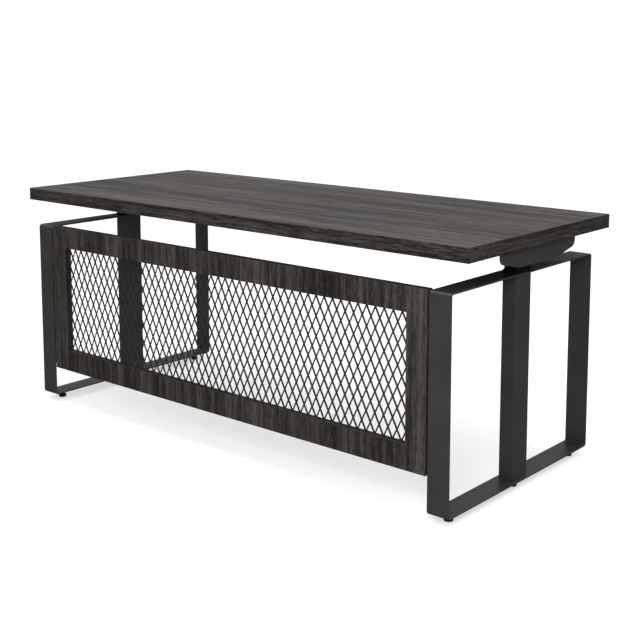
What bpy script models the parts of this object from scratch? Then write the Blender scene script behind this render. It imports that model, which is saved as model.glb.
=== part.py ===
"""Height-adjustable desk: woodgrain top on two lifting columns set in flat-bar loop legs, with a
mesh-filled modesty panel.

Frame: metres, +Z up, origin on the floor under the centre of the desktop. +X runs along the desktop to
the right leg, -Y is the visitor side with the modesty panel, +Y is the user's side. The desktop is at its
lowest position.
"""
import bpy
import bmesh
from math import radians
from mathutils import Matrix, Vector

# ---------------------------------------------------------------- driving dimensions
GAP = 0.0003                    # clearance between touching pieces

TOP_LENGTH = 1.829              # desktop, along X
TOP_DEPTH = 0.755               # desktop, along Y
TOP_HEIGHT = 0.749              # upper face above the floor
TOP_THICK = 0.041
BAND = 0.002                    # edge band thickness
TOP_UNDER = TOP_HEIGHT - TOP_THICK

LOOP_X = 0.8643                 # outer side of a loop leg
LOOP_WIDTH = 0.0686             # width of the flat bar, along X
LOOP_BAR = 0.005                # thickness of the flat bar
LOOP_FRONT = -0.3772
LOOP_BACK = 0.3688
LOOP_LOW = 0.0232
LOOP_HIGH = 0.6255
LOOP_BEND = 0.010               # outer bend radius

COLUMN_X = LOOP_X - LOOP_WIDTH / 2
COLUMN_Y = (LOOP_FRONT + LOOP_BACK) / 2
OUTER_TUBE = (0.047, 0.079)     # outside size in X and Y
OUTER_WALL = 0.0015
INNER_TUBE = (0.041, 0.073)
INNER_WALL = 0.0015
INNER_LOW = 0.060               # lower end of the inner tube
INNER_HIGH = 0.6745
BUSH_COLLAR = 0.008             # height of the bush above the loop

SCREW_R = 0.006                 # lead screw radius
SCREW_LOW = 0.075
PUSH_R = 0.011                  # push tube outer radius
PUSH_BORE = 0.009
PUSH_TOP = 0.530
NUT_R = 0.013
NUT_HEIGHT = 0.025

FOOT_R = 0.013
FOOT_PITCH = 0.3210             # front and back feet from the middle one
FOOT_HIGH = 0.0110              # top of the foot's pad
STEM_R = 0.0040
STEM_TOP = 0.0278
BOSS_R = 0.0080                 # threaded boss under the loop's bottom bar

PANEL_X = 0.7894                # half length of the modesty panel
PANEL_FRONT = -0.3771
PANEL_THICK = 0.025
PANEL_LOW = 0.1257
PANEL_HIGH = 0.6262
WINDOW_X = 0.7226               # half length of the window
WINDOW_LOW = 0.1980
WINDOW_HIGH = 0.5562
MESH_RECESS = 0.0116            # from the panel's front face to the mesh
MESH_THICK = 0.0035             # plain plate in the place of expanded metal
REBATE = 0.012                  # rebate round the window, cut from the back

BRACKET_X = 0.899               # outer face of the side bracket's skirt
BRACKET_INNER = 0.770
BRACKET_HALF = 0.2015           # half length along Y
BRACKET_LOW = 0.657
PLATE = 0.0025

RAIL_HALF = 0.815               # cross rails, half length
RAIL_OFFSET = 0.110             # rail axis from the column axis, along Y
RAIL_SIZE = (0.040, 0.024)


# ---------------------------------------------------------------- materials
def material(name, colour, roughness, metallic=0.0):
    mat = bpy.data.materials.new(name)
    mat.use_nodes = True
    shader = mat.node_tree.nodes["Principled BSDF"]
    shader.inputs["Base Color"].default_value = (*colour, 1.0)
    shader.inputs["Roughness"].default_value = roughness
    shader.inputs["Metallic"].default_value = metallic
    return mat


for leftover in list(bpy.data.objects):
    bpy.data.objects.remove(leftover, do_unlink=True)

TOP_LAMINATE = material("top_laminate", (0.088, 0.080, 0.074), 0.45)
EDGE_BANDING = material("edge_banding", (0.040, 0.035, 0.031), 0.50)
PANEL_LAMINATE = material("panel_laminate", (0.045, 0.040, 0.036), 0.50)
POWDER_COAT = material("powder_coat", (0.045, 0.045, 0.046), 0.55)
BLACK_STEEL = material("black_steel", (0.012, 0.012, 0.012), 0.50)
BLACK_PLASTIC = material("black_plastic", (0.010, 0.010, 0.010), 0.60)
NUT_PLASTIC = material("nut_plastic", (0.70, 0.68, 0.60), 0.45)
BRIGHT_STEEL = material("bright_steel", (0.55, 0.55, 0.56), 0.30, 1.0)
ZINC = material("zinc", (0.60, 0.60, 0.58), 0.38, 1.0)
GEAR_CASE = material("gear_case", (0.20, 0.20, 0.21), 0.45, 1.0)
BUTTON_GREY = material("button_grey", (0.30, 0.30, 0.30), 0.50)


# ---------------------------------------------------------------- modelling helpers
def new_object(name, mesh, mat=None):
    obj = bpy.data.objects.new(name, mesh)
    bpy.context.collection.objects.link(obj)
    if mat:
        mesh.materials.append(mat)
    return obj


def block(name, low, high, mat=None, bevel=0.0, axis=None, segments=3):
    """A box between two corners. bevel rounds the edges that run along axis, or all edges without one."""
    low, high = Vector(low), Vector(high)
    bm = bmesh.new()
    bmesh.ops.create_cube(bm, size=1.0, matrix=Matrix.Diagonal((*(high - low), 1.0)))
    if bevel:
        def along(edge):
            step = edge.verts[1].co - edge.verts[0].co
            return axis is None or abs(step["XYZ".index(axis)]) > 1e-6
        edges = [edge for edge in bm.edges if along(edge)]
        bmesh.ops.bevel(bm, geom=edges, offset=bevel, segments=segments, profile=0.5, affect="EDGES")
    mesh = bpy.data.meshes.new(name)
    bm.to_mesh(mesh)
    bm.free()
    obj = new_object(name, mesh, mat)
    obj.location = (low + high) / 2
    return obj


def turned(name, profile, mat, location=(0, 0, 0), rotation=(0, 0, 0), steps=24):
    """A turned piece: the (radius, height) profile is spun about local Z. A profile that starts and ends on
    the axis makes a solid, and one clear of the axis makes a ring."""
    bm = bmesh.new()
    verts = [bm.verts.new((radius, 0.0, height)) for radius, height in profile]
    edges = [bm.edges.new(pair) for pair in zip(verts, verts[1:])]
    if profile[0][0] > 0:
        edges.append(bm.edges.new((verts[-1], verts[0])))
    bmesh.ops.spin(bm, geom=verts + edges, cent=(0, 0, 0), axis=(0, 0, 1), angle=radians(360), steps=steps)
    bmesh.ops.remove_doubles(bm, verts=bm.verts, dist=1e-6)
    bmesh.ops.recalc_face_normals(bm, faces=bm.faces)
    mesh = bpy.data.meshes.new(name)
    bm.to_mesh(mesh)
    bm.free()
    obj = new_object(name, mesh, mat)
    obj.location = location
    obj.rotation_euler = rotation
    mesh.shade_smooth()
    mesh.set_sharp_from_angle(angle=radians(35))
    return obj


def prism(name, outline, axis, start, end, mat=None):
    """A flat outline extruded along an axis. The outline is in the other two axes, in X, Y, Z order."""
    places = {"X": (1, 2, 0), "Y": (0, 2, 1), "Z": (0, 1, 2)}[axis]
    bm = bmesh.new()
    verts = []
    for first, second in outline:
        point = [0.0, 0.0, 0.0]
        point[places[0]], point[places[1]], point[places[2]] = first, second, start
        verts.append(bm.verts.new(point))
    face = bm.faces.new(verts)
    step = Vector((0.0, 0.0, 0.0))
    step[places[2]] = end - start
    side = bmesh.ops.extrude_face_region(bm, geom=[face])
    bmesh.ops.translate(bm, vec=step, verts=[v for v in side["geom"] if isinstance(v, bmesh.types.BMVert)])
    bmesh.ops.recalc_face_normals(bm, faces=bm.faces)
    mesh = bpy.data.meshes.new(name)
    bm.to_mesh(mesh)
    bm.free()
    return new_object(name, mesh, mat)


def rod(name, radius, start, end, centre, axis="Z", steps=24):
    """A plain round bar along an axis, used as a cutter or as part of a union."""
    turn = {"X": (0, radians(90), 0), "Y": (radians(-90), 0, 0), "Z": (0, 0, 0)}[axis]
    place = list(centre)
    place.insert("XYZ".index(axis), start)
    profile = [(0.0, 0.0), (radius, 0.0), (radius, end - start), (0.0, end - start)]
    return turned(name, profile, None, place, turn, steps)


def combine(target, tools, operation="DIFFERENCE"):
    """Cuts the tools from the target, or joins them to it, and hides the tools."""
    for tool in tools:
        modifier = target.modifiers.new(tool.name, "BOOLEAN")
        modifier.operation = operation
        modifier.solver = "EXACT"
        modifier.object = tool
        tool.hide_render = True
        tool.display_type = "WIRE"
    return target


def tube(name, centre, size, wall, low, high, radius, mat):
    """An upright rectangular tube, open at both ends."""
    half = Vector((size[0] / 2, size[1] / 2))
    bore = half - Vector((wall, wall))
    outside = block(name, (centre[0] - half.x, centre[1] - half.y, low),
                    (centre[0] + half.x, centre[1] + half.y, high), mat, radius, "Z")
    inside = block(name + "_bore", (centre[0] - bore.x, centre[1] - bore.y, low - 0.01),
                   (centre[0] + bore.x, centre[1] + bore.y, high + 0.01), None, radius - wall, "Z")
    return combine(outside, [inside])


def screw(name, head_r, head_h, shank_r, length, place, direction, mat):
    """A pan-head screw. place is under the head on the screw's axis, direction is the way that it points."""
    profile = [(0.0, -head_h), (head_r * 0.55, -head_h), (head_r * 0.9, -head_h * 0.6), (head_r, 0.0),
               (shank_r, 0.0), (shank_r, length - shank_r), (shank_r * 0.4, length), (0.0, length)]
    turn = {"+Z": (0, 0, 0), "-Y": (radians(90), 0, 0)}[direction]
    return turned(name, profile, mat, place, turn, 16)


# ---------------------------------------------------------------- base: loops, columns, feet
SIDES = (("left", -1), ("right", 1))
FEET = (("front", -FOOT_PITCH), ("middle", 0.0), ("back", FOOT_PITCH))
FIXING_Y = 0.027                # column screws, from the column axis

for side, sign in SIDES:
    cx = sign * COLUMN_X
    x_low, x_high = cx - LOOP_WIDTH / 2, cx + LOOP_WIDTH / 2

    loop = block(f"loop_{side}", (x_low, LOOP_FRONT, LOOP_LOW), (x_high, LOOP_BACK, LOOP_HIGH), POWDER_COAT,
                 LOOP_BEND, "X", 5)
    bore = Vector(OUTER_TUBE) / 2 - Vector((OUTER_WALL, OUTER_WALL))
    hollow = block(f"loop_{side}_hollow", (x_low - 0.01, LOOP_FRONT + LOOP_BAR, LOOP_LOW + LOOP_BAR),
                   (x_high + 0.01, LOOP_BACK - LOOP_BAR, LOOP_HIGH - LOOP_BAR), None,
                   LOOP_BEND - LOOP_BAR, "X", 5)
    mouth = block(f"loop_{side}_mouth", (cx - bore.x, COLUMN_Y - bore.y, LOOP_HIGH - 0.02),
                  (cx + bore.x, COLUMN_Y + bore.y, LOOP_HIGH + 0.01), None, 0.0035, "Z")
    combine(loop, [hollow, mouth])
    bosses = [rod(f"loop_{side}_{place}_boss", BOSS_R, FOOT_HIGH + GAP, LOOP_LOW + 0.002,
                  (cx, COLUMN_Y + offset)) for place, offset in FEET]
    combine(loop, bosses, "UNION")
    cutters = []
    for place, offset in FEET:
        cutters.append(rod(f"loop_{side}_{place}_hole", STEM_R + GAP, 0.0, LOOP_LOW + 0.012,
                           (cx, COLUMN_Y + offset)))
    for end in (-1, 1):
        cutters.append(rod(f"loop_{side}_fixing_{end}", 0.0033, LOOP_LOW - 0.01, LOOP_LOW + 0.012,
                           (cx, COLUMN_Y + end * FIXING_Y), steps=16))
    combine(loop, cutters)

    column_low, column_high = LOOP_LOW + LOOP_BAR + GAP, LOOP_HIGH - LOOP_BAR - GAP
    tube(f"column_tube_{side}", (cx, COLUMN_Y), OUTER_TUBE, OUTER_WALL, column_low, column_high, 0.005,
         POWDER_COAT)

    # foot plate in the column's lower end, carrying the push tube
    plate_x, plate_y = bore.x - GAP, bore.y - GAP
    push = block(f"push_tube_{side}", (cx - plate_x, COLUMN_Y - plate_y, column_low),
                 (cx + plate_x, COLUMN_Y + plate_y, column_low + 0.008), BRIGHT_STEEL, 0.003, "Z", 2)
    combine(push, [rod(f"push_{side}_barrel", PUSH_R, column_low + 0.004, PUSH_TOP, (cx, COLUMN_Y))], "UNION")
    holes = [rod(f"push_{side}_bore", PUSH_BORE, column_low + 0.008, PUSH_TOP + 0.01, (cx, COLUMN_Y))]
    for end in (-1, 1):
        holes.append(rod(f"push_{side}_fixing_{end}", 0.0033, column_low - 0.01, column_low + 0.02,
                         (cx, COLUMN_Y + end * FIXING_Y), steps=16))
    combine(push, holes)

    # lift nut: a collar on the push tube with a spigot inside it
    nut_bore, spigot = SCREW_R + 0.0002, PUSH_BORE - GAP
    turned(f"lift_nut_{side}",
           [(nut_bore, -0.015), (spigot, -0.015), (spigot, GAP), (NUT_R, GAP), (NUT_R, NUT_HEIGHT - 0.002),
            (NUT_R - 0.002, NUT_HEIGHT), (nut_bore, NUT_HEIGHT)], NUT_PLASTIC, (cx, COLUMN_Y, PUSH_TOP))

    # slide bush: a collar on the loop with a skirt inside the outer tube
    skirt = bore - Vector((GAP, GAP))
    collar = skirt + Vector((0.0015, 0.0015))
    slide = Vector(INNER_TUBE) / 2 + Vector((GAP, GAP))
    bush = block(f"slide_bush_{side}", (cx - collar.x, COLUMN_Y - collar.y, LOOP_HIGH + GAP),
                 (cx + collar.x, COLUMN_Y + collar.y, LOOP_HIGH + BUSH_COLLAR), BLACK_PLASTIC, 0.004, "Z")
    sleeve = block(f"bush_{side}_skirt", (cx - skirt.x, COLUMN_Y - skirt.y, LOOP_HIGH - 0.040),
                   (cx + skirt.x, COLUMN_Y + skirt.y, LOOP_HIGH + 0.004), None, 0.0032, "Z")
    way = block(f"bush_{side}_way", (cx - slide.x, COLUMN_Y - slide.y, LOOP_HIGH - 0.05),
                (cx + slide.x, COLUMN_Y + slide.y, LOOP_HIGH + 0.02), None, 0.0028, "Z")
    combine(bush, [sleeve], "UNION")
    combine(bush, [way])

    for place, offset in FEET:
        turned(f"foot_{side}_{place}",
               [(0.0, 0.0), (FOOT_R - 0.0015, 0.0), (FOOT_R, 0.0015), (FOOT_R, 0.0085),
                (FOOT_R - 0.0025, FOOT_HIGH), (STEM_R, FOOT_HIGH), (STEM_R, STEM_TOP - 0.0008),
                (STEM_R - 0.0008, STEM_TOP), (0.0, STEM_TOP)], BLACK_PLASTIC, (cx, COLUMN_Y + offset, 0.0))

    for end, word in ((-1, "front"), (1, "back")):
        screw(f"column_screw_{side}_{word}", 0.0055, 0.0032, 0.003, 0.0125,
              (cx, COLUMN_Y + end * FIXING_Y, LOOP_LOW - GAP), "+Z", ZINC)

# ---------------------------------------------------------------- modesty panel
PANEL_BACK = PANEL_FRONT + PANEL_THICK
MESH_FRONT = PANEL_FRONT + MESH_RECESS
BRACKET_Z = (0.225, 0.530)      # heights of the panel brackets' screws
BRACKET_SCREW_X = 0.762

panel = block("modesty_panel", (-PANEL_X, PANEL_FRONT, PANEL_LOW), (PANEL_X, PANEL_BACK, PANEL_HIGH),
              PANEL_LAMINATE)
cuts = [block("panel_window", (-WINDOW_X, PANEL_FRONT - 0.01, WINDOW_LOW),
              (WINDOW_X, PANEL_BACK + 0.01, WINDOW_HIGH)),
        block("panel_rebate", (-WINDOW_X - REBATE, MESH_FRONT, WINDOW_LOW - REBATE),
              (WINDOW_X + REBATE, PANEL_BACK + 0.01, WINDOW_HIGH + REBATE))]
for side, sign in SIDES:
    for number, height in enumerate(BRACKET_Z):
        cuts.append(rod(f"panel_pilot_{side}_{number}", 0.0021, PANEL_BACK - 0.016, PANEL_BACK + 0.01,
                        (sign * BRACKET_SCREW_X, height), "Y", 16))
combine(panel, cuts)

sheet_x = WINDOW_X + REBATE - GAP
sheet_low, sheet_high = WINDOW_LOW - REBATE + GAP, WINDOW_HIGH + REBATE - GAP
mesh_front, mesh_back = MESH_FRONT + GAP, MESH_FRONT + GAP + MESH_THICK
block("mesh_infill", (-sheet_x, mesh_front, sheet_low), (sheet_x, mesh_back, sheet_high), BLACK_STEEL)

strip_front, strip_back = mesh_back + GAP, PANEL_BACK - GAP
strip = REBATE - 2 * GAP
for word, low, high in (("low", sheet_low, sheet_low + strip), ("high", sheet_high - strip, sheet_high)):
    block(f"mesh_strip_{word}", (-sheet_x, strip_front, low), (sheet_x, strip_back, high), PANEL_LAMINATE)
for side, sign in SIDES:
    ends = sorted((sign * sheet_x, sign * (sheet_x - strip)))
    block(f"mesh_strip_{side}", (ends[0], strip_front, sheet_low + strip + GAP),
          (ends[1], strip_back, sheet_high - strip - GAP), PANEL_LAMINATE)

# full-height Z-section brackets from the back of the panel to the back of the loop's front post
BRACKET_THICK = 0.003
BRACKET_ENDS = 0.012            # from the panel's lower and upper edge
post_back = LOOP_FRONT + LOOP_BAR + GAP
on_panel = PANEL_BACK + GAP
for side, sign in SIDES:
    profile = [(0.745, on_panel), (0.8005, on_panel), (0.8005, post_back), (0.845, post_back),
               (0.845, post_back + BRACKET_THICK), (0.8005 + BRACKET_THICK, post_back + BRACKET_THICK),
               (0.8005 + BRACKET_THICK, on_panel + BRACKET_THICK), (0.745, on_panel + BRACKET_THICK)]
    bracket = prism(f"panel_bracket_{side}", [(sign * x, y) for x, y in profile], "Z",
                    PANEL_LOW + BRACKET_ENDS, PANEL_HIGH - BRACKET_ENDS, BLACK_STEEL)
    holes = [rod(f"bracket_hole_{side}_{number}", 0.0023, on_panel - 0.005, on_panel + 0.01,
                 (sign * BRACKET_SCREW_X, height), "Y", 16) for number, height in enumerate(BRACKET_Z)]
    combine(bracket, holes)
    for word, height in zip(("low", "high"), BRACKET_Z):
        screw(f"panel_screw_{side}_{word}", 0.0040, 0.0024, 0.0018, 0.0165,
              (sign * BRACKET_SCREW_X, on_panel + BRACKET_THICK + GAP, height), "-Y", ZINC)

# ---------------------------------------------------------------- lifted part: desktop and edge bands
TOP_SCREWS = [(sign * 0.790, COLUMN_Y + end * 0.170, side, word)
              for side, sign in SIDES for end, word in ((-1, "front"), (1, "back"))]
half_x, half_y = TOP_LENGTH / 2, TOP_DEPTH / 2
core = block("desktop", (-half_x + BAND + GAP, -half_y + BAND + GAP, TOP_UNDER),
             (half_x - BAND - GAP, half_y - BAND - GAP, TOP_HEIGHT), TOP_LAMINATE)
pilots = [rod(f"desktop_pilot_{side}_{word}", 0.0023, TOP_UNDER - 0.01, TOP_UNDER + 0.018, (x, y), steps=16)
          for x, y, side, word in TOP_SCREWS]
combine(core, pilots)

for word, sign in (("front", -1), ("back", 1)):
    ends = sorted((sign * half_y, sign * (half_y - BAND)))
    block(f"edge_band_{word}", (-half_x, ends[0], TOP_UNDER), (half_x, ends[1], TOP_HEIGHT), EDGE_BANDING,
          0.0006, segments=2)
for side, sign in SIDES:
    ends = sorted((sign * half_x, sign * (half_x - BAND)))
    block(f"edge_band_{side}", (ends[0], -half_y + BAND + GAP, TOP_UNDER),
          (ends[1], half_y - BAND - GAP, TOP_HEIGHT), EDGE_BANDING, 0.0006, segments=2)

# ---------------------------------------------------------------- lifted part: columns, brackets, rails
flange_high = TOP_UNDER - GAP
flange_low = flange_high - PLATE
case_high = flange_low - GAP


def skirt_outline():
    """The skirt in Y and Z: a flat middle, a long taper and a rounded end, and the same again mirrored."""
    half = [(0.103, BRACKET_LOW), (0.177, BRACKET_LOW + 0.0165)]
    centre, radius = (BRACKET_HALF - 0.022, BRACKET_LOW + 0.0390), 0.022
    for angle in (-75, -60, -45, -30, -15, 0):
        turn = Matrix.Rotation(radians(angle), 2) @ Vector((radius, 0.0))
        half.append((centre[0] + turn.x, centre[1] + turn.y))
    half.append((BRACKET_HALF, flange_high))
    return half + [(-y, z) for y, z in reversed(half)]


for side, sign in SIDES:
    cx = sign * COLUMN_X
    tube(f"lift_tube_{side}", (cx, COLUMN_Y), INNER_TUBE, INNER_WALL, INNER_LOW, INNER_HIGH, 0.004,
         BLACK_STEEL)

    outline = [(COLUMN_Y + y, z) for y, z in skirt_outline()]
    bracket = prism(f"side_bracket_{side}", outline, "X", sign * BRACKET_X, sign * (BRACKET_X - PLATE),
                    BLACK_STEEL)
    ends = sorted((sign * (BRACKET_X - 0.001), sign * BRACKET_INNER))
    flange = block(f"bracket_{side}_flange", (ends[0], COLUMN_Y - BRACKET_HALF, flange_low),
                   (ends[1], COLUMN_Y + BRACKET_HALF, flange_high))
    combine(bracket, [flange], "UNION")
    holes = [rod(f"bracket_{side}_hole_{word}", 0.0025, flange_low - 0.005, flange_high + 0.005, (x, y),
                 steps=16) for x, y, where, word in TOP_SCREWS if where == side]
    combine(bracket, holes)

    # gear case on the inner tube with the motor lying inwards
    case = block(f"gear_motor_{side}", (cx - 0.037, COLUMN_Y - 0.045, INNER_HIGH + GAP),
                 (cx + 0.037, COLUMN_Y + 0.045, case_high), GEAR_CASE, 0.003, "Z", 2)
    reach = sorted((sign * 0.700, sign * (COLUMN_X - 0.030)))
    motor = rod(f"motor_{side}_can", 0.0145, reach[0], reach[1], (COLUMN_Y, 0.6898), "X", 32)
    socket = rod(f"motor_{side}_socket", 0.0051, INNER_HIGH - 0.01, INNER_HIGH + 0.020, (cx, COLUMN_Y),
                 steps=32)
    combine(case, [motor], "UNION")
    combine(case, [socket])

    # lead screw: journal in the gear case, thread down through the lift nut
    turned(f"lead_screw_{side}",
           [(0.0, 0.0), (SCREW_R - 0.001, 0.0), (SCREW_R, 0.001), (SCREW_R, INNER_HIGH - SCREW_LOW - 0.002),
            (0.005, INNER_HIGH - SCREW_LOW - 0.001), (0.005, INNER_HIGH - SCREW_LOW + 0.018),
            (0.0, INNER_HIGH - SCREW_LOW + 0.018)], BRIGHT_STEEL, (cx, COLUMN_Y, SCREW_LOW), steps=32)

for x, y, side, word in TOP_SCREWS:
    screw(f"desktop_screw_{side}_{word}", 0.0045, 0.0026, 0.0020, 0.0190, (x, y, flange_low - GAP), "+Z",
          ZINC)

for word, sign in (("front", -1), ("back", 1)):
    middle = COLUMN_Y + sign * RAIL_OFFSET
    low, high = case_high - RAIL_SIZE[1], case_high
    rail = block(f"cross_rail_{word}", (-RAIL_HALF, middle - RAIL_SIZE[0] / 2, low),
                 (RAIL_HALF, middle + RAIL_SIZE[0] / 2, high), BLACK_STEEL, 0.003, "X", 2)
    hollow = block(f"rail_{word}_bore", (-RAIL_HALF - 0.01, middle - RAIL_SIZE[0] / 2 + PLATE, low + PLATE),
                   (RAIL_HALF + 0.01, middle + RAIL_SIZE[0] / 2 - PLATE, high - PLATE))
    combine(rail, [hollow])

# ---------------------------------------------------------------- lifted part: control box and handset
BOX_HALF = (0.130, 0.050)
BOX_LOW = 0.6775
box_high = TOP_UNDER - GAP
box = block("control_box", (-BOX_HALF[0], COLUMN_Y - BOX_HALF[1], BOX_LOW),
            (BOX_HALF[0], COLUMN_Y + BOX_HALF[1], box_high), BLACK_PLASTIC, 0.004, "Z")
sockets = [block("box_inlet", (-BOX_HALF[0] - 0.01, COLUMN_Y - 0.030, BOX_LOW + 0.006),
                 (-BOX_HALF[0] + 0.016, COLUMN_Y - 0.002, box_high - 0.006), None, 0.003, "X", 2)]
sockets.append(block("box_connector_bay", (BOX_HALF[0] - 0.012, COLUMN_Y - 0.034, BOX_LOW + 0.008),
                     (BOX_HALF[0] + 0.01, COLUMN_Y + 0.034, BOX_LOW + 0.022)))
combine(box, sockets)

HANDSET_X = -0.560
HANDSET_HALF = 0.045
HANDSET_BACK = half_y - 0.036
HANDSET_FRONT = half_y - 0.0020
BUTTON = (0.016, 0.0080)        # button face, along X and Z
BUTTON_PROUD = 0.0018
BUTTON_DEPTH = 0.0050
handset_high = TOP_UNDER - GAP
handset_low = handset_high - 0.018
button_z = (handset_low + handset_high) / 2
handset = block("handset", (HANDSET_X - HANDSET_HALF, HANDSET_BACK, handset_low),
                (HANDSET_X + HANDSET_HALF, HANDSET_FRONT, handset_high), BLACK_PLASTIC, 0.003, "Y")
pockets = []
for word, offset in (("up", 0.018), ("down", -0.018)):
    left, right = HANDSET_X - offset - BUTTON[0] / 2, HANDSET_X - offset + BUTTON[0] / 2
    low, high = button_z - BUTTON[1] / 2, button_z + BUTTON[1] / 2
    floor = HANDSET_FRONT - BUTTON_DEPTH
    pockets.append(block(f"handset_{word}_pocket", (left - GAP, floor - 0.0015, low - GAP),
                         (right + GAP, HANDSET_FRONT + 0.01, high + GAP), None, 0.0018, "Y", 2))
    block(f"button_{word}", (left, floor, low), (right, HANDSET_FRONT + BUTTON_PROUD, high), BUTTON_GREY,
          0.0015, "Y", 2)
combine(handset, pockets)
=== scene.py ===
from math import cos, pi, radians, sin

import bmesh
import bpy
from mathutils import Matrix, Vector


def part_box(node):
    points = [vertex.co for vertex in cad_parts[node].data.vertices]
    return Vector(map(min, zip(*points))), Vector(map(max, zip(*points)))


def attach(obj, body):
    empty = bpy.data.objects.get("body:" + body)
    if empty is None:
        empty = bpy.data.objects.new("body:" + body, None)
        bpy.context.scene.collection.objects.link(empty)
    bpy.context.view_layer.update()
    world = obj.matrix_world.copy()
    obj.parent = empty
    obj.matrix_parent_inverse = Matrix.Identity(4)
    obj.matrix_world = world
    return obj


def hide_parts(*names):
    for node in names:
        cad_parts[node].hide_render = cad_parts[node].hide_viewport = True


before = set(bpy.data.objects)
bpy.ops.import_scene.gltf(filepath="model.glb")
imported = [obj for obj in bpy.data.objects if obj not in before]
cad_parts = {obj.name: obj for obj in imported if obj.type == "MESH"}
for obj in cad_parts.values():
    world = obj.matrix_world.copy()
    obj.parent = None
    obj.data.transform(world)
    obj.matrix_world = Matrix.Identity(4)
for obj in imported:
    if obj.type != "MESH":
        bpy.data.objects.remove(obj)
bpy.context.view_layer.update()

SIDES = (("left", -1), ("right", 1))
PLACES = ("front", "middle", "back")


# ---------------------------------------------------------------- node helpers
class Look:
    """A material and short ways to add nodes to it."""

    def __init__(self, name):
        self.mat = bpy.data.materials.new(name)
        self.mat.use_nodes = True
        self.tree = self.mat.node_tree
        self.shader = self.tree.nodes["Principled BSDF"]
        self.coords = self.add("ShaderNodeTexCoord").outputs["Object"]

    def add(self, kind, **values):
        node = self.tree.nodes.new(kind)
        for key, value in values.items():
            setattr(node, key, value)
        return node

    def link(self, source, target):
        self.tree.links.new(source, target)

    def fill(self, socket, value):
        """Sets a socket to a number or a colour, or links another node's output to it."""
        if isinstance(value, (int, float, tuple)):
            socket.default_value = value
        else:
            self.link(value, socket)

    def math(self, kind, first, second):
        node = self.add("ShaderNodeMath", operation=kind)
        self.fill(node.inputs[0], first)
        self.fill(node.inputs[1], second)
        return node.outputs[0]

    def scaled(self, vector, scale, offset=(0, 0, 0)):
        node = self.add("ShaderNodeMapping")
        node.inputs["Scale"].default_value = scale
        node.inputs["Location"].default_value = offset
        self.link(vector, node.inputs["Vector"])
        return node.outputs[0]

    def noise(self, vector, scale=1.0, detail=2.0, rough=0.5):
        node = self.add("ShaderNodeTexNoise")
        node.inputs["Scale"].default_value = scale
        node.inputs["Detail"].default_value = detail
        node.inputs["Roughness"].default_value = rough
        self.link(vector, node.inputs["Vector"])
        return node.outputs["Fac"]

    def ramp(self, value, stops):
        node = self.add("ShaderNodeValToRGB")
        while len(node.color_ramp.elements) < len(stops):
            node.color_ramp.elements.new(0.5)
        for element, (place, colour) in zip(node.color_ramp.elements, stops):
            element.position = place
            element.color = (*colour, 1.0)
        self.link(value, node.inputs[0])
        return node.outputs[0]

    def spread(self, value, low, high, from_low=0.25, from_high=0.75):
        """Maps a range of values to low and high."""
        node = self.add("ShaderNodeMapRange")
        node.inputs["From Min"].default_value = from_low
        node.inputs["From Max"].default_value = from_high
        node.inputs["To Min"].default_value = low
        node.inputs["To Max"].default_value = high
        self.link(value, node.inputs["Value"])
        return node.outputs[0]

    def mix(self, weight, first, second):
        node = self.add("ShaderNodeMix", data_type="RGBA")
        self.fill(node.inputs[0], weight)
        self.fill(node.inputs[6], first)
        self.fill(node.inputs[7], second)
        return node.outputs[2]

    def bump(self, height, distance, strength=1.0):
        node = self.add("ShaderNodeBump")
        node.inputs["Strength"].default_value = strength
        node.inputs["Distance"].default_value = distance
        self.link(height, node.inputs["Height"])
        self.link(node.outputs[0], self.shader.inputs["Normal"])

    def wear_and_highlight_edges(self, colour, wear_and_highlight_colour, reach, amount):
        """Lightens the colour along sharp edges, within reach of them: a painted highlight on the arrises,
        together with edge wear.
        """
        rounded_normal = self.add("ShaderNodeBevel", samples=4)
        rounded_normal.inputs["Radius"].default_value = reach
        geometry = self.add("ShaderNodeNewGeometry")
        dot = self.add("ShaderNodeVectorMath", operation="DOT_PRODUCT")
        self.link(rounded_normal.outputs[0], dot.inputs[0])
        self.link(geometry.outputs["Normal"], dot.inputs[1])
        return self.mix(self.spread(dot.outputs["Value"], amount, 0.0, 0.86, 0.99), colour, wear_and_highlight_colour)

    def set(self, **values):
        for key, value in values.items():
            self.fill(self.shader.inputs[key.replace("_", " ")], value)


def shade(colour, factor=1.0):
    """A colour made lighter or darker, with full alpha."""
    return (*(channel * factor for channel in colour), 1.0)


WANDER = 0.055                  # how far the lines of the grain wander sideways
PORE_DEPTH = 0.6                # depth of the pores in the relief
GRAIN_RELIEF = 0.00012


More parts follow.
